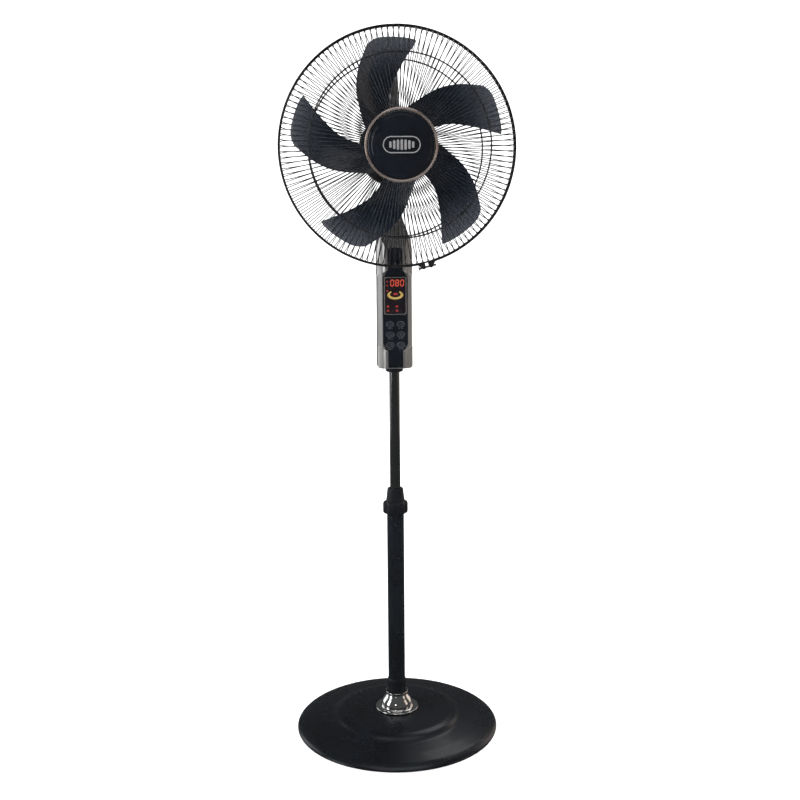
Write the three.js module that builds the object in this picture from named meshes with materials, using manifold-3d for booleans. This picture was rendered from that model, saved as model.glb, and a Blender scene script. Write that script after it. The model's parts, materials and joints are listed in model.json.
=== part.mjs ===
// A pedestal fan: weighted round base, telescopic pole with a lobed lock nut, control column with a
// display and six keys, and an oscillating, tilting head with a five-blade fan between two wire guards.
// Millimetres, +Z up. The origin is the centre of the base on the floor, and the fan blows towards -Y.
import * as THREE from "three";
import { mergeVertices } from "three/addons/utils/BufferGeometryUtils.js";
import Module from "manifold-3d";

const wasm = await Module();
wasm.setup();

// ---------------------------------------------------------------- driving dimensions
const WALL = 2.4; // moulded plastic wall
const FIT = 0.35; // gap between two pieces that sit together

const BASE_TOP = 36; // height of the base at its centre
const FOOT_COUNT = 4;
const FOOT_HEIGHT = 2.6;
const FOOT_CIRCLE = 170;

const OUTER_TUBE_RADIUS = 16.7;
const OUTER_TUBE_TOP = 444;
const INNER_TUBE_RADIUS = 10.2;
const INNER_TUBE_BOTTOM = 318;
const NUT_BOTTOM = 438; // the nut's profile is drawn upwards from here
const NUT_LOBES = 6;

const COLUMN_BOTTOM = 730;
const COLUMN_TOP = 1034;
const COLUMN_HALF = 33.4; // half of the column's width
const FASCIA_FRONT = -35.6; // y of the black control panel's face
const KEY_ROWS = [815, 795.3, 775.6];
const KEY_X = 10.2;

const HEAD_Z = 1139; // height of the motor's axis
const TILT_Z = 1057; // height of the tilt bolt
const RIM_Y = -115; // plane in which the two guards meet
const GUARD_RADIUS = 207.5; // centre line of each guard's rim wire
const HOOP_RADIUS = 213.5;
const WIRE = 2.2; // guard wire, here thicker and fewer than on the finished fan
const GUARD_WIRES = 16;
const LUG_HOLE_RADIUS = 218.6; // the hoop's closing screw, from the axis
const HOOP_SEAM = (76 * Math.PI) / 180; // angle of the hoop's screw, from +X towards -Z

const BLADES = 5;
const BLADE_ROOT = 34;
const BLADE_TIP = 190;
const BLADE_THICKNESS = 2.4;
const BLADE_CORNER = 9; // how far the trailing corner of a tip is drawn in

const GEAR_MODULE = 1;
const GEAR_TEETH = 24;
const PINION_TEETH = 12;
const GEAR_CENTRES = ((GEAR_TEETH + PINION_TEETH) * GEAR_MODULE) / 2 + 0.12;

// ---------------------------------------------------------------- materials
const finish = (color, roughness, metalness = 0) =>
  new THREE.MeshStandardMaterial({ color, roughness, metalness });
const BLACK_PAINT = finish(0x0f1214, 0.35);
const BLACK_PLASTIC = finish(0x14171b, 0.45);
const CHROME = finish(0xc9c9c4, 0.08, 1);
const TUBE_CHROME = finish(0x8c8c88, 0.2, 1);
const SILVER = finish(0x8f8c88, 0.38, 0.35);
const GLOSS_BLACK = finish(0x0b0d10, 0.1);
const COPPER = finish(0x8a6f62, 0.15, 1);
const WIRE_BLACK = finish(0x101012, 0.3, 0.3);
const SMOKE = finish(0x1d242c, 0.15);
const RUBBER = finish(0x1b1b1b, 0.9);
const STEEL = finish(0x9a9a9a, 0.35, 1);
const IRON = finish(0x4b4b4b, 0.8, 0.6);
const NYLON = finish(0xd8d6cf, 0.5);
const BOARD = finish(0x1f5a34, 0.6);
const KEY_GREY = finish(0x3c4046, 0.4);

// ---------------------------------------------------------------- shape helpers
function solid(geometry) {
  const bare = geometry.index ? geometry.toNonIndexed() : geometry.clone();
  for (const name of Object.keys(bare.attributes)) {
    if (name !== "position") bare.deleteAttribute(name);
  }
  const merged = mergeVertices(bare, 1e-3);
  const mesh = new wasm.Mesh({
    numProp: 3,
    vertProperties: merged.attributes.position.array,
    triVerts: new Uint32Array(merged.index.array),
  });
  return new wasm.Manifold(mesh);
}

function geometryOf(made) {
  const mesh = made.getMesh();
  const geometry = new THREE.BufferGeometry();
  geometry.setAttribute("position", new THREE.BufferAttribute(mesh.vertProperties.slice(), 3));
  geometry.setIndex(new THREE.BufferAttribute(mesh.triVerts.slice(), 1));
  return geometry;
}

const joined = (...list) =>
  geometryOf(list.map(solid).reduce((whole, next) => whole.add(next)));
const cut = (from, ...tools) =>
  geometryOf(tools.map(solid).reduce((whole, tool) => whole.subtract(tool), solid(from)));
const common = (...list) =>
  geometryOf(list.map(solid).reduce((whole, next) => whole.intersect(next)));

// A profile of [radius, height] pairs turned about Y. It closes on itself unless it ends on the axis.
function turnedAboutY(profile, segments = 40) {
  const area = profile.reduce((sum, [r, h], i) => {
    const [r2, h2] = profile[(i + 1) % profile.length];
    return sum + r * h2 - r2 * h;
  }, 0);
  const ordered = area > 0 ? [...profile] : [...profile].reverse();
  const start = ordered.findIndex(([r]) => r === 0);
  if (start >= 0) {
    // begin at the axis point whose previous point is on the axis too
    while (!(ordered[0][0] === 0 && ordered.at(-1)[0] === 0)) ordered.push(ordered.shift());
  } else {
    ordered.push(ordered[0]);
  }
  return new THREE.LatheGeometry(
    ordered.map(([r, h]) => new THREE.Vector2(r, h)),
    segments,
  );
}
const turned = (profile, segments) => turnedAboutY(profile, segments).rotateX(Math.PI / 2);
const ring = (inner, outer, low, high, segments) =>
  turned([[inner, low], [outer, low], [outer, high], [inner, high]], segments);
const ringY = (inner, outer, low, high, segments) =>
  turnedAboutY([[inner, low], [outer, low], [outer, high], [inner, high]], segments);
const rod = (radius, low, high, segments = 14) =>
  turned([[0, low], [radius, low], [radius, high], [0, high]], segments);
const rodY = (radius, low, high, segments = 14) =>
  turnedAboutY([[0, low], [radius, low], [radius, high], [0, high]], segments);

const box = (x0, x1, y0, y1, z0, z1) =>
  new THREE.BoxGeometry(x1 - x0, y1 - y0, z1 - z0).translate(
    (x0 + x1) / 2,
    (y0 + y1) / 2,
    (z0 + z1) / 2,
  );

const outline = (points) => new THREE.Shape(points.map(([x, y]) => new THREE.Vector2(x, y)));
const mirrored = (points) => [...points, ...points.map(([x, y]) => [-x, y]).reverse()];

// An outline in x and y, standing from z = low to high.
const standing = (shape, low, high, curveSegments = 8) =>
  new THREE.ExtrudeGeometry(shape, {
    depth: high - low,
    bevelEnabled: false,
    curveSegments,
  }).translate(0, 0, low);
// An outline in x and z, running back from y = near to far.
const facing = (shape, near, far, curveSegments = 8) =>
  new THREE.ExtrudeGeometry(shape, { depth: far - near, bevelEnabled: false, curveSegments })
    .rotateX(Math.PI / 2)
    .translate(0, far, 0);
// An outline in y and z, running across from x = left to right.
const sideways = (shape, left, right, curveSegments = 8) =>
  new THREE.ExtrudeGeometry(shape, { depth: right - left, bevelEnabled: false, curveSegments })
    .rotateY(Math.PI / 2)
    .rotateX(Math.PI / 2)
    .translate(left, 0, 0);

function addPart(group, name, geometry, material) {
  const mesh = new THREE.Mesh(geometry, material);
  mesh.name = name;
  group.add(mesh);
  return mesh;
}

// ---------------------------------------------------------------- base and pole (stays on the floor)
const BASE_PROFILE = [
  [200, 1.6], [200, 5], [197, 9.6], [188, 13], [130, 22.4], [124, 26.4], [117, 29.2],
  [45, BASE_TOP - 0.8], [21, BASE_TOP],
];
const BASE_UNDERSIDE = [[21, 34], [44, 33.2], [116, 27.2], [129, 20.4], [187, 11], [197.8, 5], [197.8, 1.6]];

function makeBase() {
  const stand = new THREE.Group();
  addPart(stand, "base_cover", turned([...BASE_PROFILE, ...BASE_UNDERSIDE], 40), BLACK_PAINT);
  addPart(stand, "base_plate", ring(30, 196, FOOT_HEIGHT, FOOT_HEIGHT + 1.2, 40), STEEL);
  addPart(stand, "base_weight", ring(60, 150, 4.2, 13, 40), IRON);
  const foot = [[0, 0], [9, 0], [10, 1], [10, FOOT_HEIGHT], [0, FOOT_HEIGHT]];
  for (let i = 0; i < FOOT_COUNT; i++) {
    const turn = ((i + 0.25) / FOOT_COUNT) * 2 * Math.PI;
    const pad = addPart(stand, `rubber_foot_${i + 1}`, turned(foot, 12), RUBBER);
    pad.position.set(FOOT_CIRCLE * Math.cos(turn), FOOT_CIRCLE * Math.sin(turn), 0);
  }
  const socket = [[5.6, 4.1], [52, 4.1], [52, 7], [20.3, 7], [20.3, 58], [17.4, 58], [17.4, 7], [5.6, 7]];
  addPart(stand, "pole_socket", turned(socket, 18), STEEL);
  const bolt = [[0, 0.8], [11, 0.8], [11, 3.8], [5, 3.8], [5, 22], [0, 22]];
  addPart(stand, "base_bolt", turned(bolt, 6), STEEL);
  const bell = [
    [41.8, 36.3], [42.8, 38], [32.6, 39.9], [27, 49], [20.7, 60.5], [22.2, 70.5], [21, 71],
    [19.4, 61], [25.8, 48.4], [31.6, 38.4], [40, 36.3],
  ];
  addPart(stand, "base_bell_trim", turned(bell, 20), CHROME);
  addPart(stand, "outer_tube", ring(15.3, OUTER_TUBE_RADIUS, 7.4, OUTER_TUBE_TOP, 20), BLACK_PAINT);
  const sleeve = [[17, 64], [18, 64], [18.9, 66.5], [18.9, 96], [17.9, 98.6], [17, 98.6]];
  addPart(stand, "tube_foot_sleeve", turned(sleeve, 18), BLACK_PLASTIC);
  const seat = [
    [10.6, 422], [14.9, 422], [14.9, 444.3], [17.8, 444.3], [17.8, 447.4], [15.9, 447.4],
    [15.9, 464], [14.4, 466], [11.7, 480], [10.6, 480],
  ];
  addPart(stand, "collet_seat", turned(seat, 16), NYLON);
  return stand;
}

function makeLockNut() {
  const raised = (points) => points.map(([r, z]) => [r, z + NUT_BOTTOM]);
  const body = raised([
    [18.2, 0], [19.2, 0], [20.2, 1.5], [20.2, 22], [18.6, 25.5], [18, 29], [15.4, 49], [14.2, 50.5],
    [11.2, 50.5], [11.2, 46], [12.4, 42.5], [15.2, 28.5], [16.4, 26], [16.4, 11], [18.2, 11],
  ]);
  const lobe = raised([[0, 0.4], [3.8, 0.4], [5.2, 3], [5.2, 20], [3, 24.6], [0, 24.6]]);
  const lobes = Array.from({ length: NUT_LOBES }, (_, i) => {
    const turn = (i / NUT_LOBES) * 2 * Math.PI;
    return turned(lobe, 6).translate(19.2 * Math.cos(turn), 19.2 * Math.sin(turn), 0);
  });
  const bore = rod(18.3, NUT_BOTTOM - 10, NUT_BOTTOM + 40, 32);
  return joined(turned(body, 18), ...lobes.map((one) => cut(one, bore)));
}

// ---------------------------------------------------------------- control column (slides on the pole)
// Half of the column's plan: the middle stretch, and the shoulders above and below it, which stand proud.
const WAIST_PLAN = [[0, -32.2], [24.4, -32.2], [32.8, -23], [32.8, 8], [28.6, 22], [20, 30.5], [0, 33]];
const SHOULDER_PLAN = [[0, -35.6], [19, -35.6], [33.4, -24], [33.4, 8], [29, 22.6], [20.3, 31.1], [0, 33.6]];
const NECK_SPREAD = 13.2; // half width at the neck's top

const inset = (points, by) =>
  points.map(([x, y]) => [Math.max(0, x - (x > 0 ? by : 0)), y - Math.sign(y) * by]);
const plan = (half) => outline(mirrored(half));

// The control panel's front outline, an elongated dagger.
function fasciaOutline(grow = 0) {
  const wide = 23.6 + grow;
  const narrow = 14 + grow;
  return outline(mirrored([
    [narrow, 732 - grow], [narrow, 764 - grow / 2], [wide, 777.5 - grow / 2],
    [wide, 902.5 + grow / 2], [narrow, 917.5 + grow / 2], [narrow, 956 + grow], [narrow - 4, 959 + grow],
  ]));
}

// The column seen from the front: straight sides, then a taper to the neck.
function frontSilhouette(by = 0) {
  const top = COLUMN_TOP - by;
  return outline(mirrored([
    [COLUMN_HALF - 3 - by, COLUMN_BOTTOM + by], [COLUMN_HALF - by, COLUMN_BOTTOM + 3 + by],
    [COLUMN_HALF - by, 957], [28.2 - by, 979], [19.8 - by, 1002], [14.6 - by, 1020], [NECK_SPREAD - by, top],
  ]));
}

function sideSilhouette(by = 0) {
  return outline([
    [-36 + by, COLUMN_BOTTOM + by], [-36 + by, 957], [-28 + by, 990], [-17 + by, 1016],
    [-14 + by, COLUMN_TOP - by], [14 - by, COLUMN_TOP - by], [17 - by, 1016], [28 - by, 990],
    [34 - by, 957], [34 - by, COLUMN_BOTTOM + by],
  ]);
}

function columnBlock() {
  const lowerShoulder = facing(
    outline(mirrored([[36, COLUMN_BOTTOM], [36, 775], [14, 762.6]])), -60, 60);
  const upperShoulder = facing(
    outline(mirrored([[14, 918], [36, 905], [36, 1070]])), -60, 60);
  const proud = standing(plan(SHOULDER_PLAN), COLUMN_BOTTOM, COLUMN_TOP);
  const whole = joined(
    standing(plan(WAIST_PLAN), COLUMN_BOTTOM, COLUMN_TOP),
    common(proud, lowerShoulder),
    common(proud, upperShoulder),
  );
  return common(
    whole,
    facing(frontSilhouette(), -60, 60),
    sideways(sideSilhouette(), -60, 60),
  );
}

function columnCavity() {
  return common(
    standing(plan(inset(WAIST_PLAN, WALL)), COLUMN_BOTTOM + WALL, COLUMN_TOP - WALL),
    facing(frontSilhouette(WALL), -60, 60),
    sideways(sideSilhouette(WALL), -60, 60),
  );
}

function makeShells() {
  const shell = cut(
    columnBlock(),
    columnCavity(),
    facing(fasciaOutline(FIT), -50, -32.1), // pocket for the fascia
    box(-19, 19, -40, -20, 766, 900), // window behind it for the keys and display
    rod(15.6, 700, 740, 20), // mouth for the lower collar
    rod(9.8, 1020, 1050, 18), // seat of the neck bush
  );
  const front = common(shell, box(-60, 60, -60, 0, 700, 1100));
  const rear = cut(
    common(shell, box(-60, 60, FIT, 60, 700, 1100)),
    rodY(4.2, 20, 50, 16).translate(0, 0, 752), // clamp screw
    rodY(6.3, 20, 50, 20).translate(0, 0, 784), // cord inlet
    rodY(3.4, 20, 50, 14).translate(0, 0, 850), // shell screw
  );
  return { front, rear };
}

const keyOutline = (x, z, grow) => {
  const shape = new THREE.Shape();
  shape.absellipse(x, z, 6.65 + grow, 4.75 + grow, 0, 2 * Math.PI, false);
  return shape;
};

function gearBlank(teeth, tilt) {
  const pressure = (20 * Math.PI) / 180;
  const involute = (angle) => Math.tan(angle) - angle;
  const pitch = (teeth * GEAR_MODULE) / 2;
  const base = pitch * Math.cos(pressure);
  const root = pitch - 1.15 * GEAR_MODULE;
  const tip = pitch + 0.8 * GEAR_MODULE;
  const backlash = 0.16;
  const half = Math.PI / (2 * teeth) - backlash / (2 * pitch);
  const flank = [0, 1].map((t) => {
    const from = Math.max(base, root);
    const radius = from + (tip - from) * t;
    return [radius, half + involute(pressure) - involute(Math.acos(Math.min(1, base / radius)))];
  });
  const points = [];
  for (let i = 0; i < teeth; i++) {
    const middle = tilt + (i / teeth) * 2 * Math.PI;
    const at = (radius, angle) => [radius * Math.cos(middle + angle), radius * Math.sin(middle + angle)];
    points.push(at(root, -flank[0][1]));
    flank.forEach(([radius, angle]) => points.push(at(radius, -angle)));
    [...flank].reverse().forEach(([radius, angle]) => points.push(at(radius, angle)));
    points.push(at(root, flank[0][1]));
  }
  return outline(points);
}

function makeMast() {
  const mast = new THREE.Group();
  addPart(mast, "inner_tube", ring(9, INNER_TUBE_RADIUS, INNER_TUBE_BOTTOM, 756, 20), TUBE_CHROME);
  addPart(mast, "glide_bush", ring(10.5, 14.9, INNER_TUBE_BOTTOM + 2, INNER_TUBE_BOTTOM + 18, 20), NYLON);
  const collar = [
    [10.5, 720], [15.8, 720], [17.3, 722.5], [17.3, 729.6], [15.2, 729.6], [15.2, 760], [10.5, 760],
  ];
  addPart(mast, "column_collar", turned(collar, 18), BLACK_PLASTIC);
  const clamp = [[0, 15.7], [3.6, 15.7], [3.6, 35.5], [8.5, 35.5], [9, 37], [9, 44], [7.5, 46], [0, 46]];
  addPart(mast, "clamp_screw", turnedAboutY(clamp, 12), BLACK_PLASTIC).position.z = 752;
  const { front, rear } = makeShells();
  addPart(mast, "front_shell", front, SILVER);
  addPart(mast, "rear_shell", rear, BLACK_PLASTIC);

  const keys = KEY_ROWS.flatMap((z) => [[-KEY_X, z], [KEY_X, z]]);
  const holes = keys.map(([x, z]) => facing(keyOutline(x, z, FIT), -50, -20, 5));
  const eye = rodY(2, -50, -20, 14).translate(0, 0, 924);
  const fascia = cut(facing(fasciaOutline(), FASCIA_FRONT, -32.4), ...holes, eye);
  addPart(mast, "control_fascia", fascia, BLACK_PLASTIC);
  const frameHole = box(-19.6, 19.6, -50, -20, 835, 902.8);
  addPart(mast, "display_frame", cut(box(-21.2, 21.2, -37, -35.9, 833.4, 904.4), frameHole), SILVER);
  addPart(mast, "display_window", box(-19.3, 19.3, -36.6, -35.9, 835.3, 902.5), GLOSS_BLACK);
  addPart(mast, "signal_eye", rodY(1.7, -36.2, -33, 14), GLOSS_BLACK).position.z = 924;
  addPart(mast, "control_board", box(-18.5, 18.5, -28.4, -26.8, 767, 898), BOARD);

  const inlet = [[0, 28], [6, 28], [6, 33.9], [8.4, 33.9], [8.4, 36], [6, 37], [5, 44], [0, 44]];
  addPart(mast, "cord_inlet", turnedAboutY(inlet, 12), RUBBER).position.z = 784;
  const screw = [[0, 16], [1.8, 16], [1.8, 31.2], [3.1, 31.2], [3.1, 33], [0, 33]];
  addPart(mast, "shell_screw", turnedAboutY(screw, 12), STEEL).position.z = 850;

  const bush = [[6.4, 1026], [9.5, 1026], [9.5, 1034.3], [12.6, 1034.3], [12.6, 1036], [6.4, 1036]];
  addPart(mast, "neck_bush", turned(bush, 18), NYLON);
  const drive = joined(
    rod(17, 922, 938, 20).translate(0, 8, 0),
    rod(2, 937, 947, 12).translate(0, GEAR_CENTRES, 0),
  );
  addPart(mast, "swing_motor", drive, STEEL);
  return { mast, keys };
}

function makeKey(x, z) {
  const cap = facing(keyOutline(x, z, 0), -37, -33.4, 5);
  const stem = rodY(2.2, -34, -29.8, 10).translate(x, 0, z);
  return joined(cap, stem);
}

// ---------------------------------------------------------------- swivel yoke (turns about Z)
function makeYoke() {
  const yoke = new THREE.Group();
  const post = [[0, 939], [6, 939], [6, 1041.6], [8.4, 1041.6], [8.4, 1044], [0, 1044]];
  addPart(yoke, "yoke_post", turned(post, 18), STEEL);
  const gear = cut(
    standing(gearBlank(GEAR_TEETH, Math.PI / 2), 940, 946),
    rod(6.3, 930, 960, 24),
  );
  addPart(yoke, "swing_gear", gear, NYLON);
  const ear = new THREE.Shape();
  ear.moveTo(-11, 1037);
  ear.lineTo(11, 1037);
  ear.absarc(0, TILT_Z, 11, 0, Math.PI, false);
  const bore = sideways(new THREE.Shape().absarc(0, TILT_Z, 4.3, 0, 2 * Math.PI, false), -40, 40);
  const body = cut(
    joined(ring(6.3, 14.2, 1036.3, 1041.2, 20), sideways(ear, -14, -10.6), sideways(ear, 10.6, 14)),
    bore,
  );
  addPart(yoke, "tilt_yoke", body, IRON);
  const shank = [[0, -16.8], [3.9, -16.8], [3.9, 14.3], [7, 14.3], [7, 18], [0, 18]];
  const tiltBolt = turnedAboutY(shank, 18).rotateZ(-Math.PI / 2).translate(0, 0, TILT_Z);
  addPart(yoke, "tilt_bolt", tiltBolt, STEEL);
  const nut = ringY(4.2, 7, -18, -14.3, 14).rotateZ(-Math.PI / 2).translate(0, 0, TILT_Z);
  addPart(yoke, "tilt_nut", nut, STEEL);
  return yoke;
}

// ---------------------------------------------------------------- head (tilts about X)
// Guard profiles: [radius, y] along one wire from the hub to the rim, in the head's own frame.
const FRONT_WIRE = [[62, -183], [115, -177], [158.9, -168], [187, -157], [202, -142], [207.5, -117.6]];
const REAR_WIRE = [[55, -63], [110, -66], [158.9, -71.5], [188, -79.5], [202, -91], [207.5, -112.4]];

function wireAlong(profile, steps) {
  const curve = new THREE.CatmullRomCurve3(profile.map(([r, y]) => new THREE.Vector3(r, y, 0)));
  const half = WIRE / 2;
  const section = outline([[-half, -half], [half, -half], [half, half], [-half, half]]);
  return new THREE.ExtrudeGeometry(section, { steps, extrudePath: curve });
}
const wireRing = (radius, y, thick, segments = 32) =>
  new THREE.TorusGeometry(radius, thick / 2, 4, segments).rotateX(Math.PI / 2).translate(0, y, 0);

function guard(profile, extras) {
  const one = solid(wireAlong(profile, 4));
  const wires = Array.from({ length: GUARD_WIRES }, (_, i) =>
    one.rotate([0, ((i + 0.5) * 360) / GUARD_WIRES, 0]));
  const rings = [
    wireRing(GUARD_RADIUS, profile.at(-1)[1], 4),
    wireRing(profile[2][0], profile[2][1], 3.4),
    ...extras,
  ];
  return geometryOf(rings.map(solid).reduce((whole, next) => whole.add(next), wasm.Manifold.union(wires)));
}

function bladeGeometry() {
  const spanSteps = 5;
  const chordSteps = 3;
  const degree = Math.PI / 180;
  const blade = new THREE.BoxGeometry(1, 1, 1, spanSteps, chordSteps, 1);
  const place = blade.attributes.position;
  for (let i = 0; i < place.count; i++) {
    const span = place.getX(i) + 0.5;
    const chord = place.getY(i) + 0.5; // 0 on the leading edge, 1 on the trailing edge
    const corner = Math.max(2 * chord - 1, 0) ** 6;
    const radius = BLADE_ROOT + (BLADE_TIP - BLADE_CORNER * corner - BLADE_ROOT) * span;
    const reach = (radius - BLADE_ROOT) / (BLADE_TIP - BLADE_ROOT);
    const leading = (17 - 28 * reach ** 1.15) * degree;
    const width = (60 - 46 * reach ** 0.55 + 13.5 * reach ** 2) * degree;
    const turn = leading + width * chord;
    const pitch = 34 - 16 * reach;
    const drop = radius * width * Math.tan(pitch * degree);
    const camber = 5 * (1 - (2 * chord - 1) ** 2);
    const y = RIM_Y - 2 - (chord - 0.5) * Math.min(drop, 34) + camber;
    const ahead = place.getZ(i) * BLADE_THICKNESS;
    place.setXYZ(i, -radius * Math.sin(turn), y - ahead, radius * Math.cos(turn));
  }
  return blade;
}

function makeFanBlade() {
  const hub = [
    [4.4, -142], [20, -142], [36, -139], [38.5, -136], [38.5, -98], [35, -98], [35, -133], [12, -136],
    [12, -104], [4.4, -104],
  ];
  const one = solid(bladeGeometry());
  const blades = Array.from({ length: BLADES }, (_, i) => one.rotate([0, (i * 360) / BLADES, 0]));
  const cup = solid(turnedAboutY(hub, 20));
  const inside = solid(rodY(34.9, -132, -80, 40));
  const set = wasm.Manifold.union(blades).subtract(inside);
  return geometryOf(set.add(cup).subtract(solid(rodY(4.4, -150, -90, 20))));
}

function makeHoop() {
  const inner = GUARD_RADIUS + 2.4;
  const channel = [
    [HOOP_RADIUS, RIM_Y - 7], [HOOP_RADIUS, RIM_Y + 7], [inner - 1.6, RIM_Y + 7], [inner - 1.6, RIM_Y + 5.8],
    [inner + 1.2, RIM_Y + 5.2], [inner + 1.2, RIM_Y - 5.2], [inner - 1.6, RIM_Y - 5.8], [inner - 1.6, RIM_Y - 7],
  ];
  const lug = [[-17, inner + 1.6], [-3, inner + 1.6], [-3, inner + 12], [-6, inner + 13.5], [-9, inner + 11]];
  const left = facing(outline(lug), RIM_Y - 6, RIM_Y + 6);
  const right = facing(outline(lug.map(([x, z]) => [-x, z])), RIM_Y - 6, RIM_Y + 6);
  const hole = rod(2.4, -30, 30, 12).rotateY(Math.PI / 2).translate(0, RIM_Y, LUG_HOLE_RADIUS);
  const gap = box(-3, 3, RIM_Y - 20, RIM_Y + 20, inner - 20, inner + 30);
  const hoop = cut(joined(turnedAboutY(channel, 36), left, right), gap, hole);
  return hoop.rotateY(HOOP_SEAM + Math.PI / 2);
}

// Outside and inside of the motor's rear cover: [radius, y].
const COVER_OUTSIDE = [[0, 70], [22, 68.4], [38, 61], [52, 46], [60, 26], [64.6, -4], [66, -30], [66, -50]];
const COVER_INSIDE = COVER_OUTSIDE.map(([r, y]) => [Math.max(0, r - WALL), y > 0 ? y - WALL : y]);

function makeRearCover() {
  const grip = new THREE.Shape();
  grip.moveTo(-40, 56);
  grip.bezierCurveTo(-42, 110, -42, 153, -14, 155);
  grip.bezierCurveTo(28, 157, 50, 132, 54, 40);
  grip.lineTo(38, 40);
  const finger = new THREE.Shape();
  finger.moveTo(-24, 74);
  finger.bezierCurveTo(-25, 112, -26, 135, -10, 137);
  finger.bezierCurveTo(18, 138, 30, 118, 33, 74);
  const taper = facing(outline(mirrored([[30, 30], [26, 66], [12, 84], [9.5, 110], [6.8, 140], [6.2, 160]])), -80, 80);
  const inside = turnedAboutY([...COVER_INSIDE, [COVER_INSIDE.at(-1)[0], -70], [0, -70]], 32);
  const handle = cut(common(sideways(grip, -40, 40, 8), taper), sideways(finger, -60, 60, 8), inside);
  const shell = turnedAboutY([...COVER_OUTSIDE, ...[...COVER_INSIDE].reverse()], 32);
  return cut(joined(shell, handle), box(-16, 16, -40, 40, -90, -30));
}

function makeHead() {
  const head = new THREE.Group();
  head.position.z = HEAD_Z;
  const drop = TILT_Z - HEAD_Z;

  const lug = new THREE.Shape();
  lug.absarc(0, drop, 10, Math.PI, 2 * Math.PI, false);
  lug.lineTo(16, -46);
  lug.lineTo(-20, -46);
  const pivot = sideways(new THREE.Shape().absarc(0, drop, 4.3, 0, 2 * Math.PI, false), -40, 40);
  const cradle = common(
    rodY(49.5, -30, 8, 40),
    box(-30, 30, -30, 8, -60, -20),
  );
  const bracket = cut(joined(sideways(lug, -10.2, 10.2), cradle), rodY(45.4, -60, 60, 40), pivot);
  addPart(head, "motor_bracket", bracket, IRON);
  const stator = [[27, -40], [30, -48], [41, -48], [43, -38], [45, -38], [45, -4], [43, -4], [41, 6], [30, 6], [27, -2]];
  addPart(head, "motor_stator", turnedAboutY(stator, 18), STEEL);
  addPart(head, "front_bearing", ringY(4.4, 9, -56, -49, 14), IRON);
  addPart(head, "rear_bearing", ringY(4.4, 9, 9, 16, 14), IRON);
  const frontBell = [[9.3, -56], [30, -56], [44.6, -50], [48, -44], [48, -33], [45.4, -33], [45.4, -42], [42, -49.5], [9.3, -52]];
  addPart(head, "front_end_bell", turnedAboutY(frontBell, 18), STEEL);
  const rearBell = [[9.3, 16], [30, 15], [44, 9], [44, 7], [30, 9], [9.3, 12]];
  addPart(head, "rear_end_bell", turnedAboutY(rearBell, 18), STEEL);

  const faceplate = [
    [9.6, -74], [30, -74], [30, -59.6], [62, -59.6], [66, -56], [66, -50.4], [62.6, -50.4], [62, -57],
    [9.6, -57],
  ];
  addPart(head, "motor_front_cover", turnedAboutY(faceplate, 24), BLACK_PLASTIC);
  addPart(head, "motor_rear_cover", makeRearCover(), SILVER);

  const plate = ringY(31, 57, -63.8, -61.8, 48);
  addPart(head, "rear_guard", guard(REAR_WIRE, [plate]), WIRE_BLACK);
  const nutProfile = [[30.5, -73], [40, -73], [43, -70], [43, -64.1], [30.5, -64.1]];
  addPart(head, "rear_guard_nut", turnedAboutY(nutProfile, 18), BLACK_PLASTIC);
  addPart(head, "front_guard", guard(FRONT_WIRE, [wireRing(62, -183, 3.6, 30)]), WIRE_BLACK);
  addPart(head, "guard_hoop", makeHoop(), WIRE_BLACK);
  const screw = [[0, -16], [1.9, -16], [1.9, 14.8], [3.6, 14.8], [3.6, 17], [0, 17]];
  const hoopScrew = turned(screw, 12).rotateY(Math.PI / 2).translate(0, RIM_Y, LUG_HOLE_RADIUS);
  addPart(head, "hoop_screw", hoopScrew.rotateY(HOOP_SEAM + Math.PI / 2), STEEL);

  const badge = [
    [0, -183], [57, -183], [58.4, -184], [57.6, -187.4], [50, -191], [30, -193], [0, -193.6],
  ];
  addPart(head, "hub_badge", turnedAboutY(badge, 24), GLOSS_BLACK);
  const trim = [[58.7, -185.2], [62.6, -185.2], [64, -187], [63.4, -189.4], [61, -190.2], [58.7, -188.4]];
  addPart(head, "badge_ring", turnedAboutY(trim, 24), COPPER);
  return head;
}

function makeRotor() {
  const rotor = new THREE.Group();
  rotor.position.z = HEAD_Z;
  addPart(rotor, "motor_shaft", rodY(4, -158, 20, 20), STEEL);
  addPart(rotor, "motor_rotor", ringY(4.3, 26, -38, -4, 24), STEEL);
  addPart(rotor, "fan_blade", makeFanBlade(), SMOKE);
  const cap = [[4.3, -143], [17, -143], [17, -150], [12, -159], [0, -161], [0, -158.3], [4.3, -158.3]];
  addPart(rotor, "blade_nut", turnedAboutY(cap, 14), BLACK_PLASTIC);
  return rotor;
}

// ---------------------------------------------------------------- assembly
const fan = new THREE.Group();
fan.name = "pedestal_fan";
fan.add(makeBase());
addPart(fan, "height_lock_nut", makeLockNut(), BLACK_PLASTIC);
const { mast, keys } = makeMast();
fan.add(mast);
keys.forEach(([x, z], i) => addPart(fan, `key_${i + 1}`, makeKey(x, z), KEY_GREY));
const pinion = cut(
  standing(gearBlank(PINION_TEETH, Math.PI / 2 + Math.PI / PINION_TEETH), 940, 946),
  rod(2.3, 930, 960, 12),
);
addPart(fan, "swing_pinion", pinion, NYLON).position.y = GEAR_CENTRES;
fan.add(makeYoke(), makeHead(), makeRotor());

export default fan;
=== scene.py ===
"""A pedestal fan on a pale floor: the looks of every piece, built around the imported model.

Shapes are drawn in millimetres and turned into metres as their meshes are made.
"""
import json
import math

import bmesh
import bpy
from mathutils import Matrix, Vector


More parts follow.
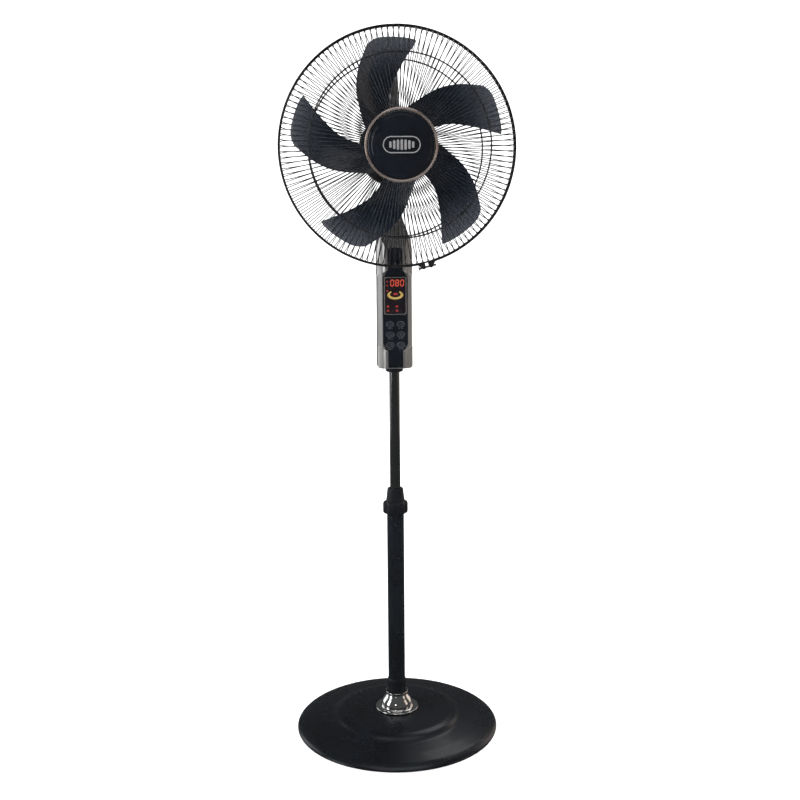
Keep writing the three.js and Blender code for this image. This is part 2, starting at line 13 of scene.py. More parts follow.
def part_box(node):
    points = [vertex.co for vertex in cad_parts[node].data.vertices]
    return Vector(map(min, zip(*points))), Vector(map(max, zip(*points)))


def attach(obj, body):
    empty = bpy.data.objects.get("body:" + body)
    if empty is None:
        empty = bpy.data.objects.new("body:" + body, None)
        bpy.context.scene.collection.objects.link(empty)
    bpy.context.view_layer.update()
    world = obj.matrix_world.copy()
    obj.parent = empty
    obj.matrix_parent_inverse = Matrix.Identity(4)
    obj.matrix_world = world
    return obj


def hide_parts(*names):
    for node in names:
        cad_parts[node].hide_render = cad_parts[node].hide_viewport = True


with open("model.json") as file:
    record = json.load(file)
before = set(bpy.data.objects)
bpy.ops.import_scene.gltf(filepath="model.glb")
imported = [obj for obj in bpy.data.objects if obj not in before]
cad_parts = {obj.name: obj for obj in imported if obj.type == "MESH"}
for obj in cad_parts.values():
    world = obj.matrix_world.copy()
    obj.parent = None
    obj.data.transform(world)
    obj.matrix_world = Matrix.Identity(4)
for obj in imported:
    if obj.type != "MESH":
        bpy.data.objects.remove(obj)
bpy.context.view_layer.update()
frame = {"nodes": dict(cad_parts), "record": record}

MM = 0.001
TURN = 2 * math.pi
SLOT_OF = {part["node"]: part["material_slot"] for part in frame["record"]["subparts"]}


class Extent:
    """Where a node of the frame lies, in millimetres."""

    def __init__(self, node):
        low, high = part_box(node)
        self.low, self.high = Vector(low) / MM, Vector(high) / MM
        self.size = self.high - self.low
        self.middle = (self.low + self.high) / 2


ROOM_LIGHT = 0.075
COOL, WHITE, WARM = (0.93, 0.97, 1.0), (1.0, 1.0, 1.0), (1.0, 0.84, 0.73)
LAMPS = [  # name, place, aim, (width, height), power, colour: metres and watts
    ("left_soft_box", (-2.6, -0.75, 1.3), (0, 0, 0.8), (0.9, 2.0), 19, COOL),
    ("right_soft_box", (2.8, -0.8, 1.2), (0, 0, 0.8), (0.9, 1.8), 4, WARM),
    ("left_rim_strip", (-2.3, 1.5, 1.1), (0, 0, 0.8), (1.5, 2.2), 13, COOL),
    ("right_rim_strip", (2.3, 1.5, 1.1), (0, 0, 0.8), (1.5, 2.2), 9, WARM),
    ("front_soft_box", (-0.9, -3.4, 1.9), (0, 0, 0.7), (0.6, 0.6), 4, WHITE),
    ("top_soft_box", (0, -0.9, 4.2), (0, -0.2, 0), (3.2, 3.2), 26, WHITE),
    ("back_soft_box", (1.2, 2.2, 2.9), (0, 0, 0.9), (1.2, 1.2), 6, WHITE),
]

AXIS_Z = Extent("badge_ring").middle.z  # height of the fan's axis
RIM_Y = Extent("guard_hoop").middle.y  # plane in which the two guards meet


# ---------------------------------------------------------------- shader maths
class Value:
    """A socket of a material's nodes, so that maths on it can be written as an expression."""

    def __init__(self, paint, socket):
        self.paint, self.socket = paint, socket

    def maths(self, operation, *others):
        return self.paint.node("ShaderNodeMath", {"operation": operation}, dict(enumerate((self, *others))))

    def __add__(self, other):
        return self.maths("ADD", other)

    def __sub__(self, other):
        return self.maths("SUBTRACT", other)

    def __mul__(self, other):
        return self.maths("MULTIPLY", other)

    def __pow__(self, other):
        return self.maths("POWER", other)

    def __rsub__(self, other):
        return self * -1 + other

    __radd__ = __add__
    __rmul__ = __mul__


class Paint:
    """A material, with its shader's constants set and its nodes made by node()."""

    def __init__(self, name, colour, roughness, **constants):
        self.material = bpy.data.materials.new(name)
        self.material.use_nodes = True
        self.tree = self.material.node_tree
        self.shader = self.tree.nodes["Principled BSDF"]
        self.set("Base Color", colour)
        self.set("Roughness", roughness)
        for socket, value in constants.items():
            self.set(socket.replace("_", " ").title(), value)

    def join(self, value, socket):
        if isinstance(value, Value):
            self.tree.links.new(value.socket, socket)
        elif hasattr(socket.default_value, "__len__") and len(value) < len(socket.default_value):
            socket.default_value = (*value, 1)
        else:
            socket.default_value = value

    def set(self, socket, value):
        self.join(value, self.shader.inputs[socket])

    def node(self, kind, settings=None, sockets=None, out=0):
        made = self.tree.nodes.new(kind)
        for name, value in (settings or {}).items():
            if name == "stops":
                for element, (place, colour) in zip(made.color_ramp.elements, value):
                    element.position, element.color = place, (*colour, 1)
            else:
                setattr(made, name, value)
        for name, value in (sockets or {}).items():
            self.join(value, made.inputs[name])
        return Value(self, made.outputs[out])

    def place(self, stretch=(1, 1, 1)):
        where = self.node("ShaderNodeTexCoord", out="Object")
        return self.node("ShaderNodeMapping", {}, {"Vector": where, "Scale": stretch})

    def noise(self, scale, detail=3, stretch=(1, 1, 1)):
        sockets = {"Vector": self.place(stretch), "Scale": scale, "Detail": detail}
        return self.node("ShaderNodeTexNoise", {}, sockets)

    def cells(self, scale, out="Distance"):
        return self.node("ShaderNodeTexVoronoi", {}, {"Vector": self.place(), "Scale": scale}, out)

    def part_of(self, axis):
        return self.node("ShaderNodeSeparateXYZ", {}, {"Vector": self.place()}, "XYZ".index(axis))

    def blend(self, share, first, second):
        sockets = {0: share, 6: first, 7: second}
        return self.node("ShaderNodeMix", {"data_type": "RGBA"}, sockets, 2)

    def step(self, value, low, high):
        sockets = {"Value": value, "From Min": low, "From Max": high}
        return self.node("ShaderNodeMapRange", {"interpolation_type": "SMOOTHSTEP"}, sockets)

    def bump(self, height, depth, strength=1.0):
        """Raises the surface by depth millimetres where height is 1."""
        sockets = {"Height": height, "Distance": depth * MM, "Strength": strength}
        self.set("Normal", self.node("ShaderNodeBump", {}, sockets))


def mottled(paint, dark, light, scale, share=1.0):
    """Sets a base colour that wanders between two shades."""
    cloud = paint.step(paint.noise(scale), 0.3, 0.7) * share
    paint.set("Base Color", paint.blend(cloud, dark, light))


def worn_gloss(paint, low, high, scale=22, dusty=0.25):
    """Sets a roughness with handling haze: broad patches and a little fine dust."""
    haze = paint.step(paint.noise(scale, 5), 0.35, 0.75)
    dust = paint.step(paint.noise(1400, 2), 0.62, 0.8) * dusty
    paint.set("Roughness", (haze + dust) * (high - low) + low)


# ---------------------------------------------------------------- materials
def enamel():
    paint = Paint("black_enamel", (0.006, 0.008, 0.011), 0.3, coat_weight=0.2, coat_roughness=0.15)
    mottled(paint, (0.0035, 0.0045, 0.006), (0.0055, 0.0075, 0.011), 9)
    worn_gloss(paint, 0.26, 0.33, dusty=0.05)
    paint.set("Specular IOR Level", 0.38)
    paint.bump(paint.noise(420, 2), 0.03, 0.12)
    return paint.material


def moulding():
    paint = Paint("black_moulding", (0.013, 0.016, 0.021), 0.4)
    mottled(paint, (0.0045, 0.0055, 0.0075), (0.0075, 0.009, 0.013), 30)
    worn_gloss(paint, 0.36, 0.46, 40)
    paint.set("Specular IOR Level", 0.32)
    paint.bump(paint.cells(1500), 0.04, 0.4)
    return paint.material


def bright_chrome():
    paint = Paint("bright_chrome", (0.82, 0.81, 0.78), 0.06, metallic=1)
    mottled(paint, (0.74, 0.73, 0.70), (0.86, 0.85, 0.82), 35)
    worn_gloss(paint, 0.04, 0.14, 60)
    paint.bump(paint.noise(60, 2), 0.04, 0.2)
    return paint.material


def tube_chrome():
    paint = Paint("tube_chrome", (0.5, 0.49, 0.47), 0.2, metallic=1)
    mottled(paint, (0.24, 0.24, 0.235), (0.29, 0.285, 0.28), 14)
    worn_gloss(paint, 0.13, 0.18, 30)
    paint.bump(paint.noise(900, 2, (1, 1, 0.02)), 0.01, 0.25)
    return paint.material


def champagne():
    paint = Paint("champagne_silver", (0.36, 0.34, 0.32), 0.4, metallic=0.85, coat_weight=0.15)
    flakes = paint.step(paint.cells(2600, "Color"), 0.2, 0.9)
    cloud = paint.step(paint.noise(18), 0.3, 0.7) * 0.35
    paint.set("Base Color", paint.blend(flakes * 0.6 + cloud, (0.33, 0.315, 0.30), (0.47, 0.46, 0.45)))
    worn_gloss(paint, 0.34, 0.42, 25)
    paint.bump(paint.noise(1300, 2), 0.03, 0.3)
    return paint.material


def gloss_black():
    paint = Paint("gloss_black", (0.006, 0.008, 0.011), 0.08, coat_weight=0.6, coat_roughness=0.04)
    mottled(paint, (0.0024, 0.003, 0.0045), (0.004, 0.0055, 0.009), 20)
    worn_gloss(paint, 0.07, 0.18, 35)
    paint.bump(paint.noise(55, 2), 0.05, 0.15)
    return paint.material


def painted_highlight_silver():
    # Painted highlight: a light silver for the fine beads that stand in for the light caught along the
    # column's edges.
    paint = Paint("painted_highlight_silver", (0.62, 0.61, 0.59), 0.3, metallic=0.6)
    mottled(paint, (0.54, 0.53, 0.51), (0.68, 0.67, 0.65), 80)
    worn_gloss(paint, 0.25, 0.36, 60)
    paint.bump(paint.noise(900, 2), 0.01, 0.3)
    return paint.material


def display_glass():
    paint = Paint("display_glass", (0.006, 0.005, 0.007), 0.05, coat_weight=0.5, coat_roughness=0.03)
    mottled(paint, (0.005, 0.005, 0.007), (0.012, 0.006, 0.008), 60)
    worn_gloss(paint, 0.04, 0.13, 50)
    paint.bump(paint.noise(80, 2), 0.02, 0.2)
    return paint.material


def lit(name, dim, bright, strength):
    """A lit segment of the display, its glow wandering at random between a dim and a bright shade."""
    paint = Paint(name, [part * 0.15 for part in dim], 0.4, emission_strength=strength)
    glow = paint.step(paint.noise(700, 2), 0.3, 0.7)
    paint.set("Emission Color", paint.blend(glow, dim, bright))
    paint.bump(paint.noise(900), 0.02, 0.3)
    return paint.material


def key_grey():
    paint = Paint("key_grey", (0.016, 0.019, 0.025), 0.3)
    mottled(paint, (0.012, 0.014, 0.018), (0.022, 0.026, 0.033), 90)
    worn_gloss(paint, 0.22, 0.36, 120)
    paint.bump(paint.cells(2200), 0.02, 0.4)
    return paint.material


def print_grey():
    paint = Paint("print_grey", (0.18, 0.18, 0.19), 0.5)
    mottled(paint, (0.14, 0.14, 0.145), (0.23, 0.23, 0.235), 900)
    paint.bump(paint.noise(2000), 0.01, 0.4)
    return paint.material


def legend_grey():
    paint = Paint("legend_grey", (0.11, 0.12, 0.135), 0.5)
    mottled(paint, (0.08, 0.09, 0.10), (0.14, 0.15, 0.17), 900)
    paint.bump(paint.noise(2000), 0.01, 0.4)
    return paint.material


def pearl_lens():
    paint = Paint("pearl_lens", (0.5, 0.51, 0.53), 0.2, coat_weight=0.5)
    mottled(paint, (0.42, 0.43, 0.46), (0.56, 0.57, 0.58), 500)
    paint.bump(paint.noise(1500), 0.01, 0.3)
    return paint.material


def bronze_chrome():
    paint = Paint("bronze_chrome", (0.46, 0.37, 0.32), 0.25, metallic=0.85)
    mottled(paint, (0.40, 0.31, 0.27), (0.58, 0.50, 0.46), 24)
    worn_gloss(paint, 0.2, 0.3, 50)
    paint.bump(paint.noise(90, 2), 0.03, 0.2)
    return paint.material


def guard_wire():
    paint = Paint("guard_wire", (0.012, 0.012, 0.013), 0.3, coat_weight=0.3, coat_roughness=0.1)
    mottled(paint, (0.007, 0.007, 0.008), (0.016, 0.016, 0.018), 40)
    worn_gloss(paint, 0.22, 0.4, 60)
    paint.bump(paint.noise(500, 2), 0.03, 0.4)
    return paint.material


def smoked_blade():
    """Smoked plastic, lighter and thinner towards the tips."""
    paint = Paint("smoked_blade", (0.02, 0.028, 0.04), 0.2, coat_weight=0.25, coat_roughness=0.08)
    off_axis = paint.part_of("Z") - AXIS_Z * MM
    across = paint.part_of("X")
    reach = (across * across + off_axis * off_axis) ** 0.5
    tip = paint.step(reach, 0.12, 0.205)
    cloud = paint.step(paint.noise(12), 0.3, 0.7) * 0.25
    paint.set("Base Color", paint.blend(
        tip * 0.75 + cloud * 0.3, (0.004, 0.008, 0.015), (0.055, 0.062, 0.082)))
    paint.set("Alpha", 1 - tip * 0.16)
    worn_gloss(paint, 0.16, 0.3, 26)
    paint.bump(paint.noise(300, 2), 0.03, 0.25)
    return paint.material


def rubber():
    paint = Paint("rubber", (0.018, 0.018, 0.018), 0.8)
    mottled(paint, (0.013, 0.013, 0.013), (0.028, 0.028, 0.028), 120)
    worn_gloss(paint, 0.7, 0.92, 80)
    paint.bump(paint.noise(1600, 4), 0.08, 0.6)
    return paint.material


def plated_steel():
    paint = Paint("plated_steel", (0.55, 0.56, 0.57), 0.34, metallic=1)
    mottled(paint, (0.44, 0.45, 0.47), (0.64, 0.64, 0.62), 60)
    worn_gloss(paint, 0.25, 0.5, 45)
    paint.bump(paint.noise(1100, 4), 0.03, 0.4)
    return paint.material


def cast_iron():
    paint = Paint("cast_iron", (0.06, 0.06, 0.062), 0.7, metallic=0.5)
    mottled(paint, (0.035, 0.035, 0.037), (0.09, 0.088, 0.085), 70)
    worn_gloss(paint, 0.55, 0.8, 60)
    paint.bump(paint.noise(450, 6), 0.25, 0.6)
    return paint.material


def motor_steel():
    """Stacked laminations, about half a millimetre each, along the motor's axis."""
    paint = Paint("motor_steel", (0.4, 0.4, 0.41), 0.4, metallic=1)
    wave = paint.node(
        "ShaderNodeTexWave", {"bands_direction": "Y"},
        {"Vector": paint.place(), "Scale": 320, "Distortion": 0.4})
    paint.set("Base Color", paint.blend(wave * 0.7, (0.26, 0.26, 0.27), (0.5, 0.5, 0.5)))
    worn_gloss(paint, 0.3, 0.5, 50)
    paint.bump(wave, 0.08, 0.6)
    return paint.material


def nylon():
    paint = Paint("nylon", (0.62, 0.6, 0.54), 0.45)
    mottled(paint, (0.54, 0.52, 0.46), (0.68, 0.66, 0.6), 90)
    worn_gloss(paint, 0.36, 0.55, 90)
    paint.bump(paint.noise(1200, 3), 0.03, 0.4)
    return paint.material


def circuit_green():
    """Solder mask with paler tracks under it."""
    paint = Paint("circuit_green", (0.02, 0.12, 0.05), 0.35)
    tracks = paint.node(
        "ShaderNodeTexBrick", {"offset": 0.37},
        {"Vector": paint.place((1, 0, 1)), "Scale": 160, "Mortar Size": 0.05, "Brick Width": 0.9}, "Fac")
    paint.set("Base Color", paint.blend(tracks, (0.012, 0.10, 0.04), (0.05, 0.24, 0.09)))
    worn_gloss(paint, 0.28, 0.45, 60)
    paint.bump(tracks, 0.05, 0.5)
    return paint.material


def floor_white():
    paint = Paint("floor_white", (0.8, 0.8, 0.8), 0.8, emission_strength=0.62)
    mottled(paint, (0.78, 0.78, 0.78), (0.81, 0.81, 0.81), 3)
    paint.set("Emission Color", (1, 1, 1))
    paint.set("Specular IOR Level", 0.1)
    paint.material.cycles.emission_sampling = "NONE"
    return paint.material


FINISHES = {
    make.__name__: make()
    for make in (
        bright_chrome, tube_chrome, painted_highlight_silver, gloss_black, display_glass, key_grey, print_grey,
        legend_grey,
        pearl_lens, bronze_chrome,
        guard_wire, smoked_blade, rubber, plated_steel, cast_iron, motor_steel, nylon, circuit_green)
}
FINISHES["black_enamel"] = enamel()
FINISHES["black_moulding"] = moulding()
FINISHES["champagne_silver"] = champagne()
FINISHES["red_light"] = lit("red_light", (0.72, 0.06, 0.03), (0.9, 0.13, 0.06), 0.8)
FINISHES["amber_light"] = lit("amber_light", (0.55, 0.34, 0.06), (0.85, 0.64, 0.2), 0.62)
FINISHES["dim_red_light"] = lit("dim_red_light", (0.30, 0.02, 0.02), (0.5, 0.05, 0.04), 0.7)


# ---------------------------------------------------------------- shapes
def rounded(profile, radius, steps=4, closed=True):
    """The same outline with each corner turned into a small arc."""
    points = [Vector(point[:2]) for point in profile]
    count = len(points)
    made = []
    for i, corner in enumerate(points):
        if not closed and i in (0, count - 1):
            made.append(corner)
            continue
        before, after = points[i - 1] - corner, points[(i + 1) % count] - corner
        reach = min(radius, before.length * 0.45, after.length * 0.45)
        start, end = corner + before.normalized() * reach, corner + after.normalized() * reach
        for step in range(steps + 1):
            t = step / steps
            made.append(start * (1 - t) ** 2 + corner * 2 * t * (1 - t) + end * t * t)
    return made


def through(points, steps):
    """A smooth line through the points."""
    made = []
    last = len(points) - 1
    for i in range(last):
        a, b = points[max(i - 1, 0)], points[i]
        c, d = points[i + 1], points[min(i + 2, last)]
        for step in range(steps):
            t = step / steps
            made.append([
                0.5 * (2 * q + (r - p) * t + (2 * p - 5 * q + 4 * r - s) * t * t
                + (3 * q - p - 3 * r + s) * t ** 3)
                for p, q, r, s in zip(a, b, c, d)])
    made.append(list(points[-1]))
    return made


def value_at(points, x):
    """Height at x of a smooth line through (x, height) points."""
    line = through(points, 12)
    for (x0, y0), (x1, y1) in zip(line, line[1:]):
        if x <= x1:
            return y0 + (y1 - y0) * (x - x0) / (x1 - x0)
    return line[-1][1]


class Shape:
    """Points and faces, gathered in millimetres before they become one mesh."""

    def __init__(self):
        self.points, self.faces = [], []

    def add(self, points, faces):
        first = len(self.points)
        self.points += [Vector(point) for point in points]
        self.faces += [[first + corner for corner in face] for face in faces]
        return self

    def skin(self, rings, closed=False, capped=True):
        """Joins rings of equally many points into a surface."""
        around = len(rings[0])
        points = [point for ring in rings for point in ring]
        faces = []
        for i in range(len(rings) if closed else len(rings) - 1):
            here, there = i * around, (i + 1) % len(rings) * around
            for j in range(around):
                k = (j + 1) % around
                faces.append([here + j, here + k, there + k, there + j])
        if capped and not closed:
            faces.append(list(range(around))[::-1])
            faces.append(list(range(len(points) - around, len(points))))
        return self.add(points, faces)

    def turned(self, profile, axis="Z", centre=(0, 0, 0), segments=128):
        """Turns a closed (radius, height) outline. Points on the axis are moved out by a hair."""
        rings = []
        for i in range(segments):
            cos, sin = math.cos(TURN * i / segments), math.sin(TURN * i / segments)
            ring = []
            for radius, height in profile:
                radius = max(radius, 0.02)
                spot = (
                    (radius * cos, radius * sin, height) if axis == "Z"
                    else (radius * cos, height, radius * sin))
                ring.append(Vector(spot) + Vector(centre))
            rings.append(ring)
        return self.skin(rings, closed=True)

    def tube(self, path, radius, sides=8, closed=False):
        """A round bar along a path. The radius may be a number or one for each point."""
        path = [Vector(point) for point in path]
        count = len(path)
        side = None
        rings = []
        for i, spot in enumerate(path):
            ahead = path[(i + 1) % count] if closed or i < count - 1 else spot
            behind = path[i - 1] if closed or i > 0 else spot
            along = (ahead - behind).normalized()
            side = along.orthogonal() if side is None else side - along * side.dot(along)
            side.normalize()
            other = along.cross(side)
            thick = radius[i] if hasattr(radius, "__len__") else radius
            rings.append([
                spot + (side * math.cos(TURN * j / sides) + other * math.sin(TURN * j / sides)) * thick
                for j in range(sides)])
        return self.skin(rings, closed=closed)

    def wire_ring(self, radius, y, thick, segments=180, sides=10):
        path = [
            (radius * math.cos(TURN * i / segments), y, AXIS_Z + radius * math.sin(TURN * i / segments))
            for i in range(segments)]
        return self.tube(path, thick / 2, sides, closed=True)

    def block(self, low, high):
        """A box, only used as the tool that cuts a slot."""
        points = [(x, y, z) for x in (low[0], high[0]) for y in (low[1], high[1]) for z in (low[2], high[2])]
        faces = [[0, 1, 3, 2], [4, 6, 7, 5], [0, 4, 5, 1], [2, 3, 7, 6], [0, 2, 6, 4], [1, 5, 7, 3]]
        return self.add(points, faces)

    def spun(self, angle, centre=(0, 0, 0), axis="Y"):
        turn = Matrix.Rotation(angle, 3, axis)
        middle = Vector(centre)
        self.points = [turn @ (point - middle) + middle for point in self.points]
        return self

    def mesh(self, name):
        made = bpy.data.meshes.new(name)
        made.from_pydata([point * MM for point in self.points], [], self.faces)
        return made


def show(name, made, body, finish, *nodes, sharp=32, slot=None):
    """Puts a shape or mesh in the scene as a piece that rides on a body and stands for the named nodes."""
    mesh = made.mesh(name) if isinstance(made, Shape) else made
    work = bmesh.new()
    work.from_mesh(mesh)
    bmesh.ops.remove_doubles(work, verts=work.verts, dist=0.000002)
    bmesh.ops.recalc_face_normals(work, faces=work.faces)
    work.to_mesh(mesh)
    work.free()
    mesh.polygons.foreach_set("use_smooth", [True] * len(mesh.polygons))
    mesh.set_sharp_from_angle(angle=math.radians(sharp))
    mesh.materials.clear()
    mesh.materials.append(FINISHES[finish])
    piece = bpy.data.objects.new(name, mesh)
    bpy.context.scene.collection.objects.link(piece)
    even = piece.modifiers.new("even_shading", "WEIGHTED_NORMAL")
    even.keep_sharp = True
    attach(piece, body)
    if nodes:
        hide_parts(*nodes)
    return piece


def refined(node, body, width, bend=22):
    """A finer copy of a node: its flats are joined up and its edges are rounded over."""
    mesh = frame["nodes"][node].data.copy()
    work = bmesh.new()
    work.from_mesh(mesh)
    bmesh.ops.remove_doubles(work, verts=work.verts, dist=0.00001)
    bmesh.ops.dissolve_limit(
        work, angle_limit=math.radians(1.5), verts=work.verts, edges=work.edges,
        use_dissolve_boundaries=False)
    sharp = [edge for edge in work.edges if len(edge.link_faces) == 2
             and edge.calc_face_angle(0) > math.radians(bend)]
    bmesh.ops.bevel(
        work, geom=sharp, offset=width * MM, segments=3, profile=0.5, affect="EDGES", clamp_overlap=True)
    work.to_mesh(mesh)
    work.free()
    mesh.name = node + "_fine"
    return show(node + "_fine", mesh, body, SLOT_OF[node], node, sharp=40)


def carved(name, shape, *tools):
    """The mesh of a shape after each tool has been cut out of it."""
    whole = bpy.data.objects.new(name, shape.mesh(name))
    bpy.context.scene.collection.objects.link(whole)
    spent = [whole]
    for i, tool in enumerate(tools):
        cutter = bpy.data.objects.new(f"{name}_cut_{i}", tool.mesh(f"{name}_cut_{i}"))
        bpy.context.scene.collection.objects.link(cutter)
        for thing in (whole, cutter):
            work = bmesh.new()
            work.from_mesh(thing.data)
            bmesh.ops.remove_doubles(work, verts=work.verts, dist=0.000002)
            bmesh.ops.recalc_face_normals(work, faces=work.faces)
            work.to_mesh(thing.data)
            work.free()
        cut = whole.modifiers.new("cut", "BOOLEAN")
        cut.operation, cut.solver, cut.object = "DIFFERENCE", "EXACT", cutter
        spent.append(cutter)
    bpy.context.view_layer.update()
    mesh = bpy.data.meshes.new_from_object(whole.evaluated_get(bpy.context.evaluated_depsgraph_get()))
    for thing in spent:
        bpy.data.objects.remove(thing)
    return mesh


def plate(name, outlines, front, depth, edge, body, finish, *nodes, slot=None):
    """A flat plate facing -Y: outlines in x and z, the first of them outside and the others holes."""
    curve = bpy.data.curves.new(name, "CURVE")
    curve.dimensions, curve.fill_mode = "2D", "BOTH"
    curve.extrude, curve.bevel_depth, curve.offset = (depth / 2 - edge) * MM, edge * MM, -edge * MM
    curve.bevel_resolution = 2
    for outline in outlines:
        spline = curve.splines.new("POLY")
        spline.points.add(len(outline) - 1)
        for spot, (x, z) in zip(spline.points, outline):
            spot.co = (x * MM, z * MM, 0, 1)
        spline.use_cyclic_u = True
    flat = bpy.data.objects.new(name, curve)
    mesh = bpy.data.meshes.new_from_object(flat)
    bpy.data.objects.remove(flat)
    stand_up = Matrix.Translation((0, (front + depth / 2) * MM, 0)) @ Matrix.Rotation(math.pi / 2, 4, "X")
    mesh.transform(stand_up)
    return show(name, mesh, body, finish, *nodes, slot=slot)


def oval(x, z, half_x, half_z, count=48):
    return [
        (x + half_x * math.cos(TURN * i / count), z + half_z * math.sin(TURN * i / count))
        for i in range(count)]


def mirrored(points):
    return [*points, *[(-x, z) for x, z in reversed(points)]]


# ---------------------------------------------------------------- base and pole
def make_base():
    cover = Extent("base_cover")
    edge, top = cover.high.x, cover.high.z
    profile = rounded([
        (21, top), (60, top - 0.6), (108, top - 3.6), (118, top - 6.6), (124.5, top - 10.4),
        (131, top - 13.2), (160, top - 18), (186, top - 23.4), (196, top - 27.6), (edge, 5), (edge, 1.6),
        (edge - 2, 1.6), (edge - 2, 5), (187, 10.6), (129, 20), (116, 27), (44, 32.6), (21, 33.4)], 3.5, 5)
    profile = [(min(r, edge), z) for r, z in profile]
    show("base_dome", Shape().turned(profile, segments=256), "stand", "black_enamel", "base_cover")

    bell = Extent("base_bell_trim")
    foot, lip, brim = bell.low.z, bell.high.z, bell.high.x
    profile = rounded([
        (brim - 1.2, foot), (brim, foot + 1.2), (brim - 0.6, foot + 2.6), (34.6, foot + 3.2),
        (31.4, foot + 4.8),
        (31.2, foot + 9.4), (29.6, foot + 14.6), (26.4, foot + 20), (22.4, foot + 25), (20.4, foot + 28.4),
        (20.6, foot + 31), (22.4, lip - 0.8), (21.6, lip), (20.8, lip - 0.4), (19.4, foot + 30.6),
        (19.3, foot + 27.4), (21.4, foot + 23.6), (25, foot + 19), (28.2, foot + 13.6), (29.8, foot + 8.6),
        (30.2, foot + 4), (33, foot + 1.9), (40.4, foot)], 2.2, 5)
    tool = Shape().tube([(0, -brim - 4, foot - 0.4), (0, -brim + 4, foot - 0.4)], 1.3, 16)
    mesh = carved("bell_trim", Shape().turned(profile, segments=160), tool)
    show("bell_trim", mesh, "stand", "bright_chrome", "base_bell_trim")

    tube = Extent("outer_tube")
    bore, wall = tube.high.x - 1.4, tube.high.x
    profile = rounded([(bore, tube.low.z), (wall, tube.low.z), (wall, tube.high.z), (bore, tube.high.z)], 0.4)
    show("outer_tube_fine", Shape().turned(profile, segments=96), "stand", "black_enamel",
         "outer_tube")

    sleeve = Extent("tube_foot_sleeve")
    wide, low, high = sleeve.high.x, sleeve.low.z, sleeve.high.z
    profile = rounded([
        (17, low), (wide - 1, low), (wide, low + 2.5), (wide, high - 4), (wide - 1.2, high - 0.8),
        (wide - 2, high), (17, high)], 1.2)
    show("foot_sleeve", Shape().turned(profile, segments=96), "stand", "black_moulding",
         "tube_foot_sleeve")

    for number in range(1, 5):
        node = f"rubber_foot_{number}"
        foot = Extent(node)
        wide, tall = foot.size.x / 2, foot.high.z
        profile = rounded([(0, 0.5), (5, 0.5), (6.5, 0), (wide - 1, 0), (wide, 1), (wide, tall), (0, tall)],
            0.6)
        pad = Shape().turned(profile, centre=(foot.middle.x, foot.middle.y, 0), segments=48)
        show(f"foot_pad_{number}", pad, "stand", "rubber", node)


def make_lock_nut():
    """A cone above a ring of six soft lobes."""
    nut = Extent("height_lock_nut")
    low, tall = nut.low.z, nut.size.z
    lobe = 4.1  # how far a lobe stands out
    lobes = 6
    levels = [
        (16.6, 11, 0), (18, 10.6, 0), (18.1, 0.5, 0), (18.6, 0, 0), (19.2, 0, 0.25), (20, 0.8, 0.7),
        (20.3, 2.6, 0.95), (20.4, 5, 1), (20.4, 19.5, 1), (20.2, 22, 0.94), (19.8, 23.8, 0.7),
        (19, 24.9, 0.3), (18.5, 25.3, 0), (18.2, 27, 0), (18.1, 28.6, 0), (17.2, 34, 0), (15.6, tall - 2, 0),
        (15.2, tall - 0.6, 0), (14.6, tall, 0), (11.5, tall, 0), (11.1, tall - 0.5, 0), (11.2, 46, 0),
        (12.4, 42.5, 0), (15.2, 28.5, 0), (16.4, 26, 0)]
    rings = []
    segments = 144
    for i in range(segments):
        angle = TURN * i / segments
        swell = lobe * (0.5 + 0.5 * math.cos(lobes * angle)) ** 0.75
        ring = []
        for radius, height, share in levels:
            reach = radius + swell * share
            ring.append((reach * math.cos(angle), reach * math.sin(angle), low + height))
        rings.append(ring)
    show("lock_nut_body", Shape().skin(rings, closed=True), "lock_nut", "black_moulding",
         "height_lock_nut", sharp=40)


# ---------------------------------------------------------------- control column
def make_column():
    tube = Extent("inner_tube")
    wall = tube.high.x
    profile = rounded([
        (wall - 1.2, tube.low.z), (wall, tube.low.z), (wall, tube.high.z), (wall - 1.2, tube.high.z)], 0.35)
    show("inner_tube_fine", Shape().turned(profile, segments=96), "mast", "tube_chrome",
         "inner_tube")

    collar = Extent("column_collar")
    wide, low, high = collar.high.x, collar.low.z, collar.high.z
    profile = rounded([
        (10.5, low), (wide - 1.6, low), (wide, low + 2.4), (wide, low + 9.6), (15.2, low + 9.6), (15.2, high),
        (10.5, high)], 0.9)
    show("collar_ring", Shape().turned(profile, segments=96), "mast", "black_moulding",
         "column_collar")

    refined("front_shell", "mast", 0.7)
    refined("rear_shell", "mast", 1.2)

    # A fine bright bead along each edge where the waist meets the shoulders: a painted highlight, a light
    # silver strip standing in for the light those edges catch.
    shell = Extent("front_shell")
    flank, face = -24, shell.low.y
    beads = Shape()
    for side in (-1, 1):
        for near, far in (((15, 917.4), (33.1, 906.7)), ((15, 763.2), (33.1, 773.3))):
            middle = near[1] + (far[1] - near[1]) * (19 - near[0]) / (far[0] - near[0])
            path = [(side * near[0], face, near[1]), (side * 19, face, middle),
                (side * far[0], flank, far[1])]
            beads.tube(through(path, 6), 0.55, 8)
    show("painted_highlight_beads", beads, "mast", "painted_highlight_silver", slot="champagne_silver")


def fascia_outline():
    panel = Extent("control_fascia")
    wide, low, high = panel.high.x, panel.low.z, panel.high.z
    narrow = wide * 0.593
    return rounded(mirrored([
        (narrow, low), (narrow, low + 32), (wide, low + 45.5), (wide, high - 56.5), (narrow, high - 41.5),
        (narrow, high)]), 3.2, 5)


